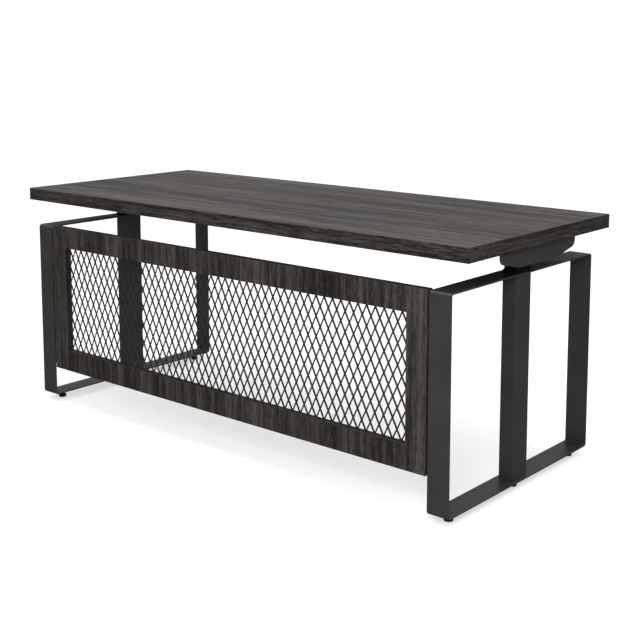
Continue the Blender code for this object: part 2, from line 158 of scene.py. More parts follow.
def grain(name, along, dark, middle, light, streaks=1.0, fine=1.0, shift=(0.0, 0.0, 0.0), short=2.0):
    """Woodgrain laminate. along is the axis of the grain, and short is how short its fine lines are."""
    look = Look(name)
    split = look.add("ShaderNodeSeparateXYZ")
    look.link(look.coords, split.inputs[0])
    order = {"X": (0, 1, 2), "Y": (1, 0, 2), "Z": (2, 0, 1)}[along]
    join = look.add("ShaderNodeCombineXYZ")
    for slot, source in enumerate(order):
        look.link(split.outputs[source], join.inputs[slot])
    run = look.scaled(join.outputs[0], (1, 1, 1), shift)

    # the lines wander sideways along their length
    wander = look.noise(look.scaled(run, (1.1, 4.0, 4.0)), 1.0, 2.0)
    push = look.math("MULTIPLY", look.math("SUBTRACT", wander, 0.5), WANDER)
    offset = look.add("ShaderNodeCombineXYZ")
    look.link(push, offset.inputs[1])
    bent = look.add("ShaderNodeVectorMath", operation="ADD")
    look.link(run, bent.inputs[0])
    look.link(offset.outputs[0], bent.inputs[1])
    run = bent.outputs[0]

    # broad bands, streaks and two layers of fine lines: scale along and across the grain, and weight
    layers = (((0.45, 11.0), 0.85 * streaks),
              ((1.6, 75.0), 1.15 * streaks),
              ((6.5 * short, 260.0), 1.15 * fine),
              ((22.0 * short, 700.0), 1.25 * fine))
    tone = 0.5
    for (lengthwise, crosswise), weight in layers:
        layer = look.noise(look.scaled(run, (lengthwise, crosswise, crosswise)), 1.0, 2.5, 0.55)
        tone = look.math("ADD", tone, look.math("MULTIPLY", look.math("SUBTRACT", layer, 0.5), weight))
    colour = look.ramp(tone, [(0.12, dark), (0.50, middle), (0.88, light)])

    # open pores: short dark dashes pressed into the surface
    pore = look.noise(look.scaled(run, (34.0, 620.0, 620.0)), 1.0, 0.0)
    pores = look.spread(pore, 1.0, 0.0, 0.28, 0.40)
    colour = look.mix(look.math("MULTIPLY", pores, 0.45), colour, shade(dark, 0.55))
    # the arrises of the laminate get a painted highlight, together with edge wear
    colour = look.wear_and_highlight_edges(colour, shade(light, 1.25), 0.0016, 0.55)
    look.set(Base_Color=colour, Roughness=look.spread(layer, 0.44, 0.56), Specular_IOR_Level=0.26)
    lines = look.math("MULTIPLY", layer, 0.5)
    height = look.math("SUBTRACT", lines, look.math("MULTIPLY", pores, PORE_DEPTH))
    look.bump(height, GRAIN_RELIEF, 0.7)
    return look.mat


def coat(name, colour, rough, specular, texture, scale=1300.0, cloudy=0.12, edge_wear_and_highlight=0.0):
    """Powder coat or moulded plastic: fine orange peel of depth texture, and faint cloudy variation."""
    look = Look(name)
    cloud = look.noise(look.coords, 9.0, 3.0)
    fine = look.noise(look.coords, scale, 2.0, 0.6)
    cloud_weight = look.spread(cloud, 0.0, 1.0, 0.3, 0.7)
    tint = look.mix(cloud_weight, shade(colour, 1 - cloudy), shade(colour, 1 + cloudy))
    speck = look.spread(fine, 0.0, 1.0, 0.35, 0.75)
    tint = look.mix(look.math("MULTIPLY", speck, 0.18), tint, shade(colour, 1.5))
    # the edges get a painted highlight, together with edge wear
    if edge_wear_and_highlight:
        tint = look.wear_and_highlight_edges(tint, shade(colour, 2.6), 0.0012, edge_wear_and_highlight)
    look.set(Base_Color=tint, Specular_IOR_Level=specular,
             Roughness=look.spread(cloud, rough - 0.04, rough + 0.04, 0.3, 0.7))
    look.bump(look.math("ADD", fine, look.math("MULTIPLY", cloud, 0.4)), texture, 0.8)
    return look.mat


def metal(name, colour, rough, brushed=None):
    """Plain or brushed metal. brushed is the direction that the brush marks run in."""
    look = Look(name)
    stretch = {"X": (15, 900, 900), "Y": (900, 15, 900), "Z": (900, 900, 15), None: (260, 260, 260)}[brushed]
    marks = look.noise(look.scaled(look.coords, stretch), 1.0, 2.0)
    cloud = look.noise(look.coords, 35.0, 3.0)
    tint = look.mix(look.spread(cloud, 0.0, 1.0, 0.3, 0.7), shade(colour, 0.82), shade(colour))
    look.set(Base_Color=tint, Metallic=1.0, Roughness=look.spread(marks, rough - 0.07, rough + 0.09))
    look.bump(marks, 0.00004, 0.6)
    return look.mat


# dark, middle and light tones of the woodgrain
TOP_TONES = ((0.0125, 0.0105, 0.0092), (0.0350, 0.0306, 0.0275), (0.0760, 0.0685, 0.0628))
PANEL_TONES = ((0.0090, 0.0073, 0.0061), (0.0262, 0.0220, 0.0188), (0.0580, 0.0503, 0.0443))
LOOKS = {
    "top_laminate": grain("top_laminate_look", "X", *TOP_TONES, 1.9, 1.3, short=1.0),
    "edge_banding": grain("edge_banding_look", "X", *PANEL_TONES, 0.9, 1.5, (3.1, 0.4, 0.2)),
    "panel_laminate": grain("panel_laminate_look", "Z", *PANEL_TONES, 1.5, 1.2, (0.7, 2.3, 0.0)),
    "powder_coat": coat("powder_coat_look", (0.0265, 0.0265, 0.0260), 0.36, 0.45, 0.00003, edge_wear_and_highlight=0.5),
    "black_steel": coat("black_steel_look", (0.0090, 0.0090, 0.0092), 0.42, 0.14, 0.00004, 1600.0,
                        edge_wear_and_highlight=0.4),
    "black_plastic": coat("black_plastic_look", (0.0080, 0.0080, 0.0082), 0.55, 0.25, 0.00008, 2100.0),
    "nut_plastic": coat("nut_plastic_look", (0.62, 0.60, 0.52), 0.42, 0.5, 0.00003, 1500.0, 0.05),
    "bright_steel": metal("bright_steel_look", (0.56, 0.56, 0.57), 0.28, "Z"),
    "zinc": metal("zinc_look", (0.60, 0.59, 0.55), 0.36),
    "gear_case": metal("gear_case_look", (0.22, 0.22, 0.23), 0.46),
    "button_grey": coat("button_grey_look", (0.105, 0.105, 0.108), 0.50, 0.4, 0.00004, 2400.0, 0.05),
}
# the bands at the desk's ends take a darker copy of the banding: painted shade on the end faces
SHADED_SIDE_TONES = [tuple(0.8 * c for c in tone) for tone in PANEL_TONES]
SHADED_SIDE_BANDING = grain("side_banding_look", "Y", *SHADED_SIDE_TONES, 0.9, 1.5, (1.7, 0.9, 0.3))
PANEL_EDGE = grain("panel_edge_look", "X", *PANEL_TONES, 0.9, 1.5, (5.2, 1.3, 0.6))
MESH_COAT = coat("mesh_coat_look", (0.0180, 0.0180, 0.0180), 0.30, 0.55, 0.00004, 1500.0)

for cad_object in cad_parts.values():
    for material_slot in cad_object.material_slots:
        material_slot.material = LOOKS[material_slot.material.name.split(".")[0]]


# ---------------------------------------------------------------- mesh helpers
GAP = 0.0003                    # clearance between the CAD's touching nodes
SHARP = radians(38)             # edges sharper than this are shaded hard


def finish_piece(name, bm, body, slot, nodes=(), mats=None, sharp=SHARP, weighted=True):
    """Turns a bmesh into a piece that rides on a body and stands for the CAD nodes."""
    bmesh.ops.recalc_face_normals(bm, faces=bm.faces)
    mesh = bpy.data.meshes.new(name)
    bm.to_mesh(mesh)
    bm.free()
    obj = bpy.data.objects.new(name, mesh)
    bpy.context.scene.collection.objects.link(obj)
    for mat in mats or (LOOKS[slot],):
        mesh.materials.append(mat)
    mesh.shade_smooth()
    mesh.set_sharp_from_angle(angle=sharp)
    if weighted:
        modifier = obj.modifiers.new("even_normals", "WEIGHTED_NORMAL")
        modifier.keep_sharp = True
    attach(obj, body)
    if nodes:
        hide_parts(*nodes)
    return obj


def loft(bm, rings, closed=False):
    """Joins rings of equal length with quads. The ends are capped, or closed joins the last to the first."""
    loops = [[bm.verts.new(point) for point in ring] for ring in rings]
    count = len(loops[0])
    pairs = list(zip(loops, loops[1:]))
    if closed:
        pairs.append((loops[-1], loops[0]))
    for lower, upper in pairs:
        for k in range(count):
            step = (k + 1) % count
            bm.faces.new((lower[k], lower[step], upper[step], upper[k]))
    if not closed:
        bm.faces.new(list(reversed(loops[0])))
        bm.faces.new(loops[-1])


def circle(radius, height, steps=32, centre=(0.0, 0.0), wave=0.0, lobes=0):
    """A round ring. wave and lobes make it fluted."""
    ring = []
    for k in range(steps):
        angle = 2 * pi * k / steps
        r = radius + wave * cos(lobes * angle)
        ring.append(Vector((centre[0] + r * cos(angle), centre[1] + r * sin(angle), height)))
    return ring


def hexagon(across, height, steps=24, centre=(0.0, 0.0)):
    """A ring on a hexagon's outline. across is the width across the flats."""
    ring = []
    for k in range(steps):
        angle = 2 * pi * k / steps
        r = across / 2 / cos((angle + pi / 6) % (pi / 3) - pi / 6)
        ring.append(Vector((centre[0] + r * cos(angle), centre[1] + r * sin(angle), height)))
    return ring


def rounded(half_x, half_y, radius, height, centre=(0.0, 0.0), steps=6):
    """A rounded rectangle's ring."""
    ring = []
    radius = max(radius, 0.0002)
    for corner, (sx, sy) in enumerate(((1, 1), (-1, 1), (-1, -1), (1, -1))):
        for k in range(steps + 1):
            angle = radians(90 * corner + 90 * k / steps)
            ring.append(Vector((centre[0] + sx * (half_x - radius) + radius * cos(angle),
                                centre[1] + sy * (half_y - radius) + radius * sin(angle), height)))
    return ring


def rounded_rings(half, radius, profile, centre=(0.0, 0.0), steps=6):
    """Rings of a rounded rectangle for a profile of (inset, height)."""
    return [rounded(half[0] - inset, half[1] - inset, radius - inset, height, centre, steps)
            for inset, height in profile]


def turn(rings, matrix):
    """Moves and turns rings."""
    return [[matrix @ point for point in ring] for ring in rings]


def tube_profile(low, high, wall, arris=0.0003):
    """The (inset, height) section of a tube's wall, with eased ends."""
    return [(arris, low), (0.0, low + arris), (0.0, high - arris), (arris, high), (wall - arris, high),
            (wall, high - arris), (wall, low + arris), (wall - arris, low)]


def bevelled_box(bm, low, high, radius, steps=3, keep=None):
    """A box with rounded edges. keep(edge) says which edges stay sharp."""
    place = Matrix.Translation((low + high) / 2) @ Matrix.Diagonal((*(high - low), 1.0))
    bmesh.ops.create_cube(bm, size=1.0, matrix=place)
    edges = [edge for edge in bm.edges if not (keep and keep(edge))]
    bmesh.ops.bevel(bm, geom=edges, offset=radius, segments=steps, profile=0.5, affect="EDGES")


def ease_edges(obj, width):
    """Rounds the sharp edges of a piece."""
    ease = obj.modifiers.new("ease", "BEVEL")
    ease.width = width
    ease.segments = 2
    ease.limit_method = "ANGLE"
    ease.angle_limit = radians(50)
    obj.modifiers.move(len(obj.modifiers) - 1, 0)


def cut(obj, cutter_rings):
    """Cuts closed lofts out of a piece, and keeps the result as its mesh."""
    others = list(obj.modifiers)
    tools = []
    for rings in cutter_rings:
        bm = bmesh.new()
        loft(bm, rings)
        bmesh.ops.recalc_face_normals(bm, faces=bm.faces)
        mesh = bpy.data.meshes.new("tool")
        bm.to_mesh(mesh)
        bm.free()
        tool = bpy.data.objects.new("tool", mesh)
        bpy.context.scene.collection.objects.link(tool)
        modifier = obj.modifiers.new("cut", "BOOLEAN")
        modifier.operation = "DIFFERENCE"
        modifier.solver = "EXACT"
        modifier.object = tool
        obj.modifiers.move(len(obj.modifiers) - 1, 0)
        tools.append((modifier, tool))
    for modifier in others:
        modifier.show_viewport = False
    bpy.context.view_layer.update()
    graph = bpy.context.evaluated_depsgraph_get()
    mesh = bpy.data.meshes.new_from_object(obj.evaluated_get(graph))
    old = obj.data
    for modifier, tool in tools:
        obj.modifiers.remove(modifier)
        bpy.data.objects.remove(tool)
    obj.data = mesh
    mesh.name = obj.name
    bpy.data.meshes.remove(old)
    for modifier in others:
        modifier.show_viewport = True
    mesh.shade_smooth()
    mesh.set_sharp_from_angle(angle=SHARP)


def near_round(radius, height, centre):
    """An almost round ring with as many points as a rounded rectangle has."""
    return rounded(radius, radius, radius * 0.96, height, centre)


def thread(radius, depth, lead, starts, low, high, centre, steps, rows_per_lead=8):
    """Rings of a right-hand screw thread on a round core. It fades out at both ends."""
    rows = round((high - low) / lead * rows_per_lead)
    rings = []
    for row in range(rows + 1):
        height = low + (high - low) * row / rows
        fade = min(1.0, (height - low) / lead * starts, (high - height) / lead * starts)
        ring = []
        for k in range(steps):
            phase = starts * ((height - low) / lead - k / steps) % 1.0
            crest = min(1.0, max(0.0, 1.6 - abs(phase - 0.5) * 4.4))
            r = radius - depth * (1 - crest * fade)
            angle = 2 * pi * k / steps
            ring.append(Vector((centre[0] + r * cos(angle), centre[1] + r * sin(angle), height)))
        rings.append(ring)
    return rings


# ---------------------------------------------------------------- desktop edge bands
ARRIS = 0.0016
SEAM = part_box("desktop")[0].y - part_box("edge_band_front")[1].y      # the core's gap to its bands
BAND_STEPS = 5


def band(side, axis, facing):
    """An edge band that closes the seam to the core. Only its outer edges are rounded."""
    start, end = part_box(f"edge_band_{side}")
    if axis == "x":
        start.y -= SEAM
        end.y += SEAM
    across = 0 if axis == "x" else 1
    if facing > 0:
        start[across] -= SEAM
        outer = end[across]
    else:
        end[across] += SEAM
        outer = start[across]

    def stays_sharp(edge):
        first, second = edge.verts[0].co, edge.verts[1].co
        on_face = abs(first[across] - outer) < 1e-5 and abs(second[across] - outer) < 1e-5
        runs_along = abs(first[1 - across] - second[1 - across]) > 0.1
        return not on_face or (axis == "x" and not runs_along)

    bm = bmesh.new()
    bevelled_box(bm, start, end, ARRIS, BAND_STEPS, stays_sharp)
    # the end bands take the copy of the banding with painted shade
    mat = SHADED_SIDE_BANDING if axis == "x" else LOOKS["edge_banding"]
    finish_piece(f"band_{side}", bm, "lifted_desk", "edge_banding", (f"edge_band_{side}",), (mat,))


for side, axis, facing in (("front", "y", -1), ("back", "y", 1), ("left", "x", -1), ("right", "x", 1)):
    band(side, axis, facing)

# ---------------------------------------------------------------- modesty panel and mesh
PANEL_LO, PANEL_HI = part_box("modesty_panel")
SHEET_LO, SHEET_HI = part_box("mesh_infill")
REBATE = 0.012                  # rebate round the window, which holds the mesh
PANEL_EASE = 0.0007             # radius of the panel's edges
WINDOW_X = SHEET_HI.x - REBATE + GAP
WINDOW_LOW = SHEET_LO.z + REBATE - GAP
WINDOW_HIGH = SHEET_HI.z - REBATE + GAP


def frame_ring(kind, grow, y):
    """Four corners of the outer outline or of the window, grown outwards, at a depth."""
    if kind == "outer":
        x_low, x_high, z_low, z_high = PANEL_LO.x, PANEL_HI.x, PANEL_LO.z, PANEL_HI.z
    else:
        x_low, x_high, z_low, z_high = -WINDOW_X, WINDOW_X, WINDOW_LOW, WINDOW_HIGH
    return [Vector((x_low - grow, y, z_low - grow)), Vector((x_high + grow, y, z_low - grow)),
            Vector((x_high + grow, y, z_high + grow)), Vector((x_low - grow, y, z_high + grow))]


# the section goes round from the window's front edge, through the rebate, to the outer edges
QUARTER = [(1 - cos(radians(angle)), 1 - sin(radians(angle))) for angle in (0, 22.5, 45, 67.5, 90)]
EASED = [(PANEL_EASE * inward, PANEL_EASE * drop) for inward, drop in QUARTER]
rebate_front = SHEET_LO.y - GAP
rings = [frame_ring("window", inward, PANEL_LO.y + drop) for inward, drop in reversed(EASED)]
rings += [frame_ring("window", 0.0, rebate_front), frame_ring("window", REBATE, rebate_front),
          frame_ring("window", REBATE, PANEL_HI.y)]
rings += [frame_ring("outer", -inward, PANEL_HI.y - drop) for inward, drop in reversed(EASED)]
rings += [frame_ring("outer", -inward, PANEL_LO.y + drop) for inward, drop in EASED]
bm = bmesh.new()
loft(bm, rings, closed=True)
bm.normal_update()
for face in bm.faces:
    if abs(face.normal.z) > 0.6:
        face.material_index = 1
finish_piece("front_panel", bm, "base", "panel_laminate", ("modesty_panel",),
             (LOOKS["panel_laminate"], PANEL_EDGE))

for word in ("low", "high", "left", "right"):
    start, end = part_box(f"mesh_strip_{word}")
    bm = bmesh.new()
    bevelled_box(bm, start, end, 0.0008, 3)
    mat = PANEL_EDGE if word in ("low", "high") else LOOKS["panel_laminate"]
    finish_piece(f"retainer_{word}", bm, "base", "panel_laminate", (f"mesh_strip_{word}",), (mat,))

# expanded metal: diamond-shaped bonds joined by straight sloping strands
COLUMN_ZERO = -0.713263         # X of the bonds in column 0
HALF_PITCH = 0.015047           # from one column of bonds to the next
ROW_ZERO = 0.552638             # Z of the bonds in row 0 of the even columns
ROW_PITCH = 0.059084
STRAND = 0.0050                 # width of a strand, measured along X
TWIST = 0.0016                  # how far a bond's upper right lies behind its lower left
TIP = STRAND / 2 * ROW_PITCH / 2 / HALF_PITCH       # from a bond's middle to its upper and lower point
bm = bmesh.new()
bonds = {}
for i in range(-3, 99):
    for k in range(-2, 8):
        x = COLUMN_ZERO + i * HALF_PITCH
        z = ROW_ZERO - (k + (i % 2) / 2) * ROW_PITCH
        corners = ((x - STRAND / 2, 0, z), (x, 0, z - TIP), (x + STRAND / 2, TWIST, z), (x, TWIST, z + TIP))
        bonds[i, k] = [bm.verts.new((across, SHEET_LO.y + back, up)) for across, back, up in corners]
        bm.faces.new(bonds[i, k])
for (i, k), (left, bottom, right, top) in bonds.items():
    above_left, above_right = (bonds.get((i + side, k - 1 + i % 2)) for side in (-1, 1))
    if above_right:
        bm.faces.new((top, right, above_right[1], above_right[0]))
    if above_left:
        bm.faces.new((left, top, above_left[2], above_left[1]))

# the sheet is trimmed to its edges and then given its thickness
for point, normal in (((SHEET_LO.x, 0, 0), (-1, 0, 0)), ((SHEET_HI.x, 0, 0), (1, 0, 0)),
                      ((0, 0, SHEET_LO.z), (0, 0, -1)), ((0, 0, SHEET_HI.z), (0, 0, 1))):
    bmesh.ops.bisect_plane(bm, geom=bm.verts[:] + bm.edges[:] + bm.faces[:], dist=1e-7, plane_co=point,
                           plane_no=normal, clear_outer=True)
bmesh.ops.recalc_face_normals(bm, faces=bm.faces)
sheet_step = Vector((0, SHEET_HI.y - SHEET_LO.y - TWIST, 0))
grown = bmesh.ops.extrude_face_region(bm, geom=bm.faces[:])["geom"]
moved = [part for part in grown if isinstance(part, bmesh.types.BMVert)]
bmesh.ops.translate(bm, vec=sheet_step, verts=moved)
lattice = finish_piece("expanded_mesh", bm, "base", "black_steel", ("mesh_infill",), (MESH_COAT,),
                       radians(30), False)
ease_edges(lattice, 0.00025)

# ---------------------------------------------------------------- loop legs
LOOP_LOW = 0.0232               # underside of the loop's bottom bar
BAR = 0.0050                    # thickness of the flat bar
BEND = 0.0100                   # outer bend radius
BAR_EASE = 0.0008
TUBE_WALL = 0.0015              # wall of the outer and inner columns
STEM_HOLE = 0.0043              # radius of the holes for the levelling feet
FEET_Y = {}
for place in PLACES:
    low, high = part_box(f"foot_right_{place}")
    FEET_Y[place] = (low.y + high.y) / 2


def bar_section(width):
    """The flat bar's section: (across, depth from the outer face), with eased edges."""
    points = []
    centres = ((width / 2 - BAR_EASE, BAR_EASE), (-width / 2 + BAR_EASE, BAR_EASE),
               (-width / 2 + BAR_EASE, BAR - BAR_EASE), (width / 2 - BAR_EASE, BAR - BAR_EASE))
    for (cx, cd), start in zip(centres, (0, 90, 180, 270)):
        for k in range(4):
            angle = radians(start + 30 * k)
            points.append((cx + BAR_EASE * cos(angle), cd - BAR_EASE * sin(angle)))
    return points


def plan(node):
    """A node's middle and half sizes in X and Y, and its low and high Z."""
    low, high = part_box(node)
    middle = ((low.x + high.x) / 2, (low.y + high.y) / 2)
    half = ((high.x - low.x) / 2, (high.y - low.y) / 2)
    return middle, half, low.z, high.z


def leg_loop(side):
    """The bent flat bar, with the column's mouth and the feet's holes cut out."""
    start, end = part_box(f"loop_{side}")
    centre_x = (start.x + end.x) / 2
    section = bar_section(end.x - start.x)
    corners = ((end.y - BEND, end.z - BEND, 0), (start.y + BEND, end.z - BEND, 90),
               (start.y + BEND, LOOP_LOW + BEND, 180), (end.y - BEND, LOOP_LOW + BEND, 270))
    rings = []
    for corner_y, corner_z, first in corners:
        for k in range(13):
            angle = radians(first + 7.5 * k)
            rings.append([Vector((centre_x + across, corner_y + (BEND - depth) * cos(angle),
                                  corner_z + (BEND - depth) * sin(angle))) for across, depth in section])
    bm = bmesh.new()
    loft(bm, rings, closed=True)
    loop = finish_piece(f"leg_loop_{side}", bm, "base", "powder_coat", (f"loop_{side}",))
    middle, half = plan(f"column_tube_{side}")[:2]
    mouth = (half[0] - TUBE_WALL, half[1] - TUBE_WALL)
    tools = [[rounded(*mouth, 0.0035, z, middle) for z in (end.z - 0.02, end.z + 0.01)]]
    for place in PLACES:
        tools.append([circle(STEM_HOLE, z, 24, (centre_x, FEET_Y[place])) for z in (0.0, LOOP_LOW + 0.012)])
    cut(loop, tools)


def foot_bosses(side):
    """Threaded bosses under the bottom bar, with a small weld fillet at the top."""
    start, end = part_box(f"loop_{side}")
    bottom = start.z
    profile = [(STEM_HOLE, LOOP_LOW), (STEM_HOLE, bottom + 0.0005), (0.0048, bottom), (0.0074, bottom),
               (0.0080, bottom + 0.0006), (0.0080, LOOP_LOW - 0.0010), (0.0086, LOOP_LOW - 0.0003),
               (0.0088, LOOP_LOW)]
    for place in PLACES:
        here = ((start.x + end.x) / 2, FEET_Y[place])
        bm = bmesh.new()
        loft(bm, [circle(radius, z, 32, here) for radius, z in profile], closed=True)
        finish_piece(f"foot_boss_{side}_{place}", bm, "base", "powder_coat")


def column(side):
    """The outer column. It reaches the bars above and below it."""
    middle, half, low, high = plan(f"column_tube_{side}")
    profile = tube_profile(low - GAP, high + GAP, TUBE_WALL)
    bm = bmesh.new()
    loft(bm, rounded_rings(half, 0.0050, profile, middle, 8), closed=True)
    finish_piece(f"column_{side}", bm, "base", "powder_coat", (f"column_tube_{side}",))


def inner_column(side):
    middle, half, low, high = plan(f"lift_tube_{side}")
    bm = bmesh.new()
    loft(bm, rounded_rings(half, 0.0040, tube_profile(low, high, TUBE_WALL), middle, 8), closed=True)
    finish_piece(f"inner_column_{side}", bm, "lifted_desk", "black_steel", (f"lift_tube_{side}",))


def slide_bush(side):
    """A collar on the loop with a skirt inside the outer column."""
    middle, half, low, high = plan(f"slide_bush_{side}")
    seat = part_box(f"loop_{side}")[1].z + GAP
    bore = half[0] - 0.0208
    profile = [(0.0015, low), (0.0015, seat), (0.0, seat), (0.0, high - 0.0020), (0.0002, high - 0.0012),
               (0.0007, high - 0.0004), (0.0014, high), (bore - 0.0004, high), (bore, high - 0.0005),
               (bore, low)]
    bm = bmesh.new()
    loft(bm, rounded_rings(half, 0.0040, profile, middle, 8), closed=True)
    finish_piece(f"bush_{side}", bm, "base", "black_plastic", (f"slide_bush_{side}",))


for side, sign in SIDES:
    leg_loop(side)
    foot_bosses(side)
    column(side)
    inner_column(side)
    slide_bush(side)

# ---------------------------------------------------------------- levelling feet
FLUTE = 0.00022                 # depth of the grip flutes round the pad
STEM_RADIUS = 0.0040
STEM_PITCH = 0.00125


def levelling_foot(side, place):
    """A fluted pad with a threaded stem."""
    here, half, low, high = plan(f"foot_{side}_{place}")
    radius = half[0]
    profile = [(radius - 0.0040, 0.0004, 0), (radius - 0.0030, 0.0, 0), (radius - 0.0016, 0.0, 0),
               (radius - 0.0005, 0.0006, 0), (radius - 0.0001, 0.0018, 0), (radius - 0.0002, 0.0026, 1),
               (radius - 0.0003, 0.0076, 1), (radius - 0.0006, 0.0088, 0), (radius - 0.0016, 0.0098, 0),
               (radius - 0.0050, 0.0104, 0), (0.0062, 0.0107, 0), (0.0058, 0.0110, 0)]
    bm = bmesh.new()
    loft(bm, [circle(r, low + z, 96, here, FLUTE * fluted, 24) for r, z, fluted in profile])
    loft(bm, thread(STEM_RADIUS, 0.0006, STEM_PITCH, 1, 0.0108, high, here, 24))
    finish_piece(f"levelling_foot_{side}_{place}", bm, f"pad_{side}_{place}", "black_plastic",
                 (f"foot_{side}_{place}",), weighted=False)


for side, sign in SIDES:
    for place in PLACES:
        levelling_foot(side, place)


# ---------------------------------------------------------------- screws
def socket_screw(name, node, body, axis, head_r, head_h, shank_r):
    """A pan-head screw with a hexagon socket, in the place of a CAD screw that points along axis."""
    start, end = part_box(node)
    centre = (start + end) / 2
    length = (end - start)[1 if axis == "-Y" else 2]
    rings = [hexagon(head_r * 0.75, -head_h * 0.35, 24), hexagon(head_r * 0.75, -head_h * 0.96, 24),
             circle(head_r * 0.50, -head_h, 24), circle(head_r * 0.70, -head_h * 0.93, 24),
             circle(head_r * 0.88, -head_h * 0.68, 24), circle(head_r * 0.98, -head_h * 0.32, 24),
             circle(head_r, 0.0, 24), circle(shank_r, 0.0, 24),
             circle(shank_r, length - head_h - shank_r, 24), circle(shank_r * 0.4, length - head_h, 24)]
    if axis == "+Z":
        place = Matrix.Translation((centre.x, centre.y, start.z + head_h))
    else:
        lying = Matrix.Rotation(radians(90), 4, "X")
        place = Matrix.Translation((centre.x, end.y - head_h, centre.z)) @ lying
    bm = bmesh.new()
    loft(bm, turn(rings, place))
    finish_piece(name, bm, body, "zinc", (node,), weighted=False)


# head radius, head height and shank radius
COLUMN_SCREW = (0.0055, 0.0032, 0.0030)
DESKTOP_SCREW = (0.0045, 0.0026, 0.0020)
PANEL_SCREW = (0.0040, 0.0024, 0.0018)
for side, sign in SIDES:
    for word in ("front", "back"):
        end = f"{side}_{word}"
        socket_screw(f"column_bolt_{end}", f"column_screw_{end}", "base", "+Z", *COLUMN_SCREW)
        socket_screw(f"top_screw_{end}", f"desktop_screw_{end}", "lifted_desk", "+Z", *DESKTOP_SCREW)
    for word in ("low", "high"):
        socket_screw(f"strap_screw_{side}_{word}", f"panel_screw_{side}_{word}", "base", "-Y", *PANEL_SCREW)


# ---------------------------------------------------------------- folded sheet metal
def folded(path, radii, steps=6):
    """A path in a plane with its corners rounded: a list of 2-D points."""
    points = [Vector(path[0])]
    for before, corner, after, radius in zip(path, path[1:], path[2:], radii):
        before, corner, after = Vector(before), Vector(corner), Vector(after)
        one, two = (before - corner).normalized(), (after - corner).normalized()
        half = one.angle(two) / 2
        reach = radius / sin(half) * cos(half)
        centre = corner + (one + two).normalized() * (radius / sin(half))
        first, last = corner + one * reach - centre, corner + two * reach - centre
        sweep = first.angle_signed(last)
        for k in range(steps + 1):
            points.append(centre + Matrix.Rotation(-sweep * k / steps, 2) @ first)
    points.append(Vector(path[-1]))
    return points


def sheet_solid(points, thick):
    """A closed outline round a path, thick to its left."""
    offset = []
    for number, point in enumerate(points):
        before = points[max(number - 1, 0)]
        after = points[min(number + 1, len(points) - 1)]
        step = (after - before).normalized()
        offset.append(point + Vector((-step.y, step.x)) * thick)
    return points + offset[::-1]


PLATE = 0.0025                  # side brackets and cross rails
PLATE_BEND = 0.0040
END_RADIUS = 0.022              # rounded ends of the side bracket's skirt
END_RISE = 0.0390               # their centre above the skirt's lower edge
END_SWEEP = 77                  # degrees


def top_bracket(side, sign):
    """The folded bracket under the desktop. Its skirt is tapered and rounded at both ends."""
    start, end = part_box(f"side_bracket_{side}")
    mid_y = (start.y + end.y) / 2
    half_y = (end.y - start.y) / 2
    outer, inner = (end.x, start.x) if sign > 0 else (start.x, end.x)
    # the skirt's lower edge as (distance from the middle, height above its lowest part)
    rise = [(0.0, 0.0), (0.050, 0.0), (0.100, 0.0), (0.1045, 0.0002), (0.1085, 0.0011), (0.140, 0.0082),
            (0.170, 0.0149)]
    for k in range(9):
        angle = radians(-END_SWEEP + END_SWEEP * k / 8)
        rise.append((half_y - END_RADIUS + END_RADIUS * cos(angle), END_RISE + END_RADIUS * sin(angle)))
    sections = []
    for y, height in [(-y, height) for y, height in reversed(rise[1:])] + rise:
        path = folded([(outer, start.z + height), (outer, end.z), (inner, end.z)], [PLATE_BEND])
        sections.append([Vector((x, mid_y + y, z)) for x, z in sheet_solid(path, PLATE * sign)])
    bm = bmesh.new()
    loft(bm, sections)
    bracket = finish_piece(f"top_bracket_{side}", bm, "lifted_desk", "black_steel",
                           (f"side_bracket_{side}",), (LOOKS["powder_coat"],))
    ease_edges(bracket, 0.0006)


for side, sign in SIDES:
    top_bracket(side, sign)

ANGLE_THICK = 0.003             # plate of the panel brackets
ANGLE_BEND = 0.002
WEB_X = 0.8005                  # their middle leg, between the panel's end and the loop


def panel_angle(side, sign):
    """The full-height Z bracket from the back of the panel to the back of the loop's front post."""
    start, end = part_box(f"panel_bracket_{side}")
    near, far = sorted((abs(start.x), abs(end.x)))
    on_panel = end.y - ANGLE_THICK
    path = [(near, on_panel), (WEB_X, on_panel), (WEB_X, start.y), (far, start.y)]
    path = folded([(sign * x, y) for x, y in path], [ANGLE_BEND, ANGLE_BEND + ANGLE_THICK])
    outline = sheet_solid(path, ANGLE_THICK * sign)
    heights = [start.z + (end.z - start.z) * k / 12 for k in range(13)]
    bm = bmesh.new()
    loft(bm, [[Vector((x, y, z)) for x, y in outline] for z in heights])
    bracket = finish_piece(f"panel_angle_{side}", bm, "base", "black_steel", (f"panel_bracket_{side}",))
    ease_edges(bracket, 0.0005)


for side, sign in SIDES:
    panel_angle(side, sign)

# ---------------------------------------------------------------- cross rails
ALONG_X = Matrix(((0, 0, 1, 0), (1, 0, 0, 0), (0, 1, 0, 0), (0, 0, 0, 1)))      # local Z runs along X
SLOT = (0.010, 0.0035, 0.0034)  # half length, half width and corner radius of a slot in a rail
for word in ("front", "back"):
    start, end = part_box(f"cross_rail_{word}")
    middle = (start + end) / 2
    half = (end - start) / 2
    rings = rounded_rings((half.y, half.z), 0.0032, tube_profile(-half.x, half.x, PLATE, 0.0004), steps=6)
    bm = bmesh.new()
    loft(bm, turn(rings, Matrix.Translation(middle) @ ALONG_X), closed=True)
    rail = finish_piece(f"rail_{word}", bm, "lifted_desk", "black_steel", (f"cross_rail_{word}",))
    slots = []
    for offset in (-0.62, -0.38, 0.0, 0.38, 0.62):
        slots.append([rounded(*SLOT, z, (offset, middle.y), 5) for z in (start.z - 0.002, start.z + 0.006)])
    cut(rail, slots)

